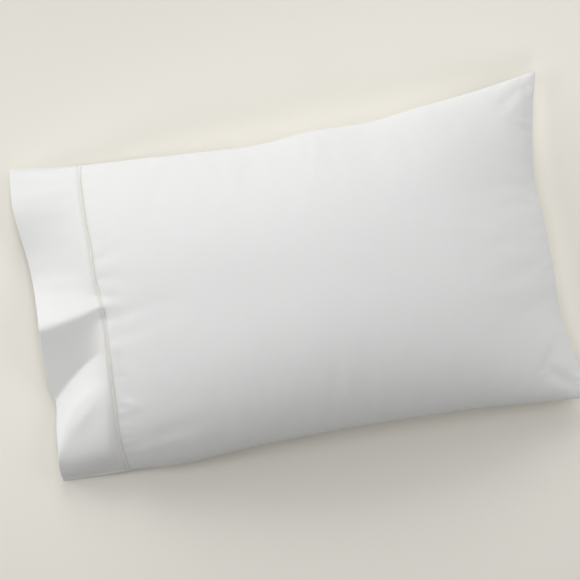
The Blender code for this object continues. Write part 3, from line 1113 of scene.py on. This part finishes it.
def made_plain(maker, name):
    """The result of an object's modifiers as a plain mesh object in its place."""
    bpy.context.view_layer.update()
    result = maker.evaluated_get(bpy.context.evaluated_depsgraph_get())
    mesh = bpy.data.meshes.new_from_object(result)
    mesh.name = name
    bpy.data.objects.remove(maker, do_unlink=True)
    return new_object(name, mesh)


def trim_route():
    return sunk(moved(body_ring(0.0, body_shares()), -SEAM_ROOM), TRIM_SUNK)


class PILLOWCASE_OT_trim(bpy.types.Operator):
    """Make the beige trim in the cuff's seam: a core wrapped in turns of thread"""

    bl_idname = "pillowcase.trim"
    bl_label = "Trim"

    def execute(self, context):
        look = context.scene.pillowcase.trim
        maker = closed_curve("trim_route", trim_route())
        tree, names = trim_tree()
        wrap = maker.modifiers.new("wrapped trim", "NODES")
        wrap.node_group = tree
        wrap[names["Core radius"]] = look.radius - look.thread
        wrap[names["Thread radius"]] = look.thread
        wrap[names["Thread pitch"]] = look.pitch
        wrap[names["Slant"]] = look.slant
        wrap[names["Finish"]] = finish_once(THREAD, thread_finish, look)
        obj = made_plain(maker, "seam_trim_thread")
        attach(obj, ONE_BODY)
        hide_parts(TRIM_NODE)
        return {"FINISHED"}


# ---- the stage


def lamp(light, strength):
    """A soft light from a height above the horizon and a turn from the picture's top."""
    data = bpy.data.lights.new(light.name, light.kind)
    data.energy = light.power * strength
    if light.kind == "SUN":
        data.angle = math.radians(SUN_WIDTH)
    else:
        data.size = SOFTBOX_SIZE
    turn = math.radians(light.turn + CAMERA_TURN)
    height = math.radians(light.height)
    level = math.cos(height)
    towards = Vector((-math.sin(turn) * level, math.cos(turn) * level, math.sin(height)))
    obj = new_object(light.name, data)
    obj.location = towards * SOFTBOX_DISTANCE
    obj.rotation_euler = towards.to_track_quat("Z", "Y").to_euler()
    obj.visible_camera = False


def studio_world(look):
    """Even light from all around, behind which the camera sees a plain pale backdrop."""
    world = bpy.data.worlds.new("studio")
    world.use_nodes = True
    tree = world.node_tree
    around = tree.nodes["Background"]
    feed(tree, around, {"Strength": look.ambient})
    backdrop = fed_node(tree, "ShaderNodeBackground", {"Color": (*look.backdrop_colour, 1.0)})
    seen = tree.nodes.new("ShaderNodeLightPath").outputs["Is Camera Ray"]
    inputs = {"Fac": seen, 1: around.outputs[0], 2: backdrop.outputs[0]}
    both = fed_node(tree, "ShaderNodeMixShader", inputs)
    feed(tree, tree.nodes["World Output"], {"Surface": both.outputs[0]})
    return world


class PILLOWCASE_OT_stage(bpy.types.Operator):
    """Set up the pale floor, the soft lights and the camera straight above"""

    bl_idname = "pillowcase.stage"
    bl_label = "Floor, lights and camera"

    def execute(self, context):
        scene, look = context.scene, context.scene.pillowcase.stage
        form = bmesh.new()
        bmesh.ops.create_grid(form, x_segments=2, y_segments=2, size=look.floor_size / 2)
        bmesh.ops.translate(form, verts=form.verts, vec=(0.0, 0.0, -FLOOR_GAP))
        mesh = bpy.data.meshes.new("floor")
        form.to_mesh(mesh)
        form.free()
        floor = new_object("floor", mesh)
        paint, tree, shader = new_finish("pale floor", roughness=1.0, gloss=0.0)
        feed(tree, shader, {"Base Color": (*look.floor_colour, 1.0)})
        mesh.materials.append(paint)

        for light in LIGHTS:
            lamp(light, look.light_strength)
        scene.world = studio_world(look)
        scene.view_settings.view_transform = "Standard"

        lens = bpy.data.cameras.new("camera")
        lens.sensor_width = SENSOR
        lens.lens = SENSOR * CAMERA_HEIGHT / VIEW_WIDTH
        camera = new_object("camera", lens)
        camera.location = (*CAMERA_PLACE, FOCUS_HEIGHT + CAMERA_HEIGHT)
        camera.rotation_euler = (0.0, 0.0, math.radians(CAMERA_TURN))
        scene.camera = camera
        return {"FINISHED"}


# ---- settings, panel and run


def a_number(name, description, default, **more):
    return FloatProperty(name=name, description=description, default=default, **more)


def a_length(name, description, default):
    return a_number(name, description, default, unit="LENGTH")


def a_count(name, description, default):
    return IntProperty(name=name, description=description, default=default)


def a_colour(name, description, default):
    return FloatVectorProperty(
        name=name, description=description, default=default,
        subtype="COLOR", size=3, min=0.0, max=1.0,
    )


class PillowcaseForm(bpy.types.PropertyGroup):
    """Sizes of the cloth and its small waves"""

    cloth: a_length("Cuff cloth", "Thickness of the cuff's doubled cloth", 0.0018)
    fold_softness: a_count("Fold softness", "How often the cuff's folds are eased", 5)
    seam_ease: a_length("Seam ease", "How far from a seam the cloth turns softly into it", 0.0045)
    seam_softness: a_count("Seam softness", "How often the turn into a seam is eased", 10)
    seam_groove: a_length("Seam groove", "Depth of the line in which two cloths are sewn", 0.0007)
    trim_roll: a_length("Roll at the trim", "How far the cloth sinks beside the trim", 0.0001)
    fill_pressure: a_number("Filling pressure", "Pressure in the cloth simulation", 3.0)
    fold_share: a_number("Seam folds", "Share of the simulated folds that is kept", 0.22)
    fold_cap: a_length("Highest seam fold", "How high a simulated fold may rise", 0.0015)
    pucker_height: a_length("Pucker height", "Height of the waves along the seams", 0.0004)
    pucker_pitch: a_length("Pucker pitch", "Usual distance between those waves", 0.016)
    pucker_reach: a_length("Pucker reach", "How far they run into the cloth", 0.022)


class PillowcaseCotton(bpy.types.PropertyGroup):
    """Finish of the cotton"""

    colour: a_colour("White", "Colour of the cotton", (0.885, 0.885, 0.88))
    unevenness: a_number("Unevenness", "Share by which threads differ in tone", 0.012)
    roughness: a_number("Roughness", "Surface roughness", 0.85)
    gloss: a_number("Gloss", "Specular level", 0.25)
    sheen: a_number("Sheen", "Soft glow of the nap", 0.10)
    thread_pitch: a_length("Thread pitch", "Distance of two threads of the weave", 0.0005)
    weave_strength: a_number("Weave", "How strongly the weave shows", 0.9)
    # The seam tint and the seam reach only darken the cotton and turn it a little beige close to
    # the trim.
    seam_tint: a_colour(
        "Seam tint", "How the trim's sewn-in edge shows through the cotton", (0.91, 0.90, 0.875)
    )
    seam_reach: a_length("Seam reach", "How far from the trim it shows", 0.0028)


class PillowcaseTrim(bpy.types.PropertyGroup):
    """Sizes and finish of the trim"""

    radius: a_length("Radius", "Radius of the trim over its thread", TRIM_RADIUS)
    thread: a_length("Thread radius", "Radius of the wrapped thread", 0.00036)
    pitch: a_length("Turn pitch", "Distance between two turns of thread", 0.00074)
    slant: a_number("Slant", "Lean of the turns", math.radians(22), subtype="ANGLE")
    colour: a_colour("Beige", "Colour of the thread", (0.95, 0.935, 0.88))
    roughness: a_number("Roughness", "Surface roughness", 0.55)
    gloss: a_number("Gloss", "Specular level", 0.35)


class PillowcaseStage(bpy.types.PropertyGroup):
    """Floor and lights"""

    floor_size: a_length("Floor size", "Side of the floor", 30.0)
    floor_colour: a_colour("Floor colour", "Colour of the floor", (0.960, 0.932, 0.854))
    backdrop_colour: a_colour("Backdrop colour", "Colour behind the floor", (0.45, 0.44, 0.40))
    light_strength: a_number("Light strength", "Scales all the lights", 1.0)
    ambient: a_number("Ambient light", "Even light from all around", 0.0)


class PillowcaseSettings(bpy.types.PropertyGroup):
    """All settings of the pillowcase"""

    form: PointerProperty(type=PillowcaseForm)
    cotton: PointerProperty(type=PillowcaseCotton)
    trim: PointerProperty(type=PillowcaseTrim)
    stage: PointerProperty(type=PillowcaseStage)


STEPS = (PILLOWCASE_OT_stage, PILLOWCASE_OT_body, PILLOWCASE_OT_cuff, PILLOWCASE_OT_trim)
GROUPS = (PillowcaseForm, PillowcaseCotton, PillowcaseTrim, PillowcaseStage, PillowcaseSettings)


class PILLOWCASE_PT_looks(bpy.types.Panel):
    """The steps that dress the pillowcase, and their settings"""

    bl_label = "Pillowcase"
    bl_space_type = "VIEW_3D"
    bl_region_type = "UI"
    bl_category = "Pillowcase"

    def draw(self, context):
        settings = context.scene.pillowcase
        for step in STEPS:
            self.layout.operator(step.bl_idname)
        for part in settings.__annotations__:
            group, box = getattr(settings, part), self.layout.box()
            for name in group.__annotations__:
                box.prop(group, name)


CLASSES = (*GROUPS, *STEPS, PILLOWCASE_PT_looks)


def register():
    for kind in CLASSES:
        bpy.utils.register_class(kind)
    bpy.types.Scene.pillowcase = PointerProperty(type=PillowcaseSettings)


def unregister():
    del bpy.types.Scene.pillowcase
    for kind in reversed(CLASSES):
        bpy.utils.unregister_class(kind)


def main():
    register()
    bpy.ops.pillowcase.stage()
    bpy.ops.pillowcase.body()
    bpy.ops.pillowcase.cuff()
    bpy.ops.pillowcase.trim()


if __name__ == "__main__":
    main()
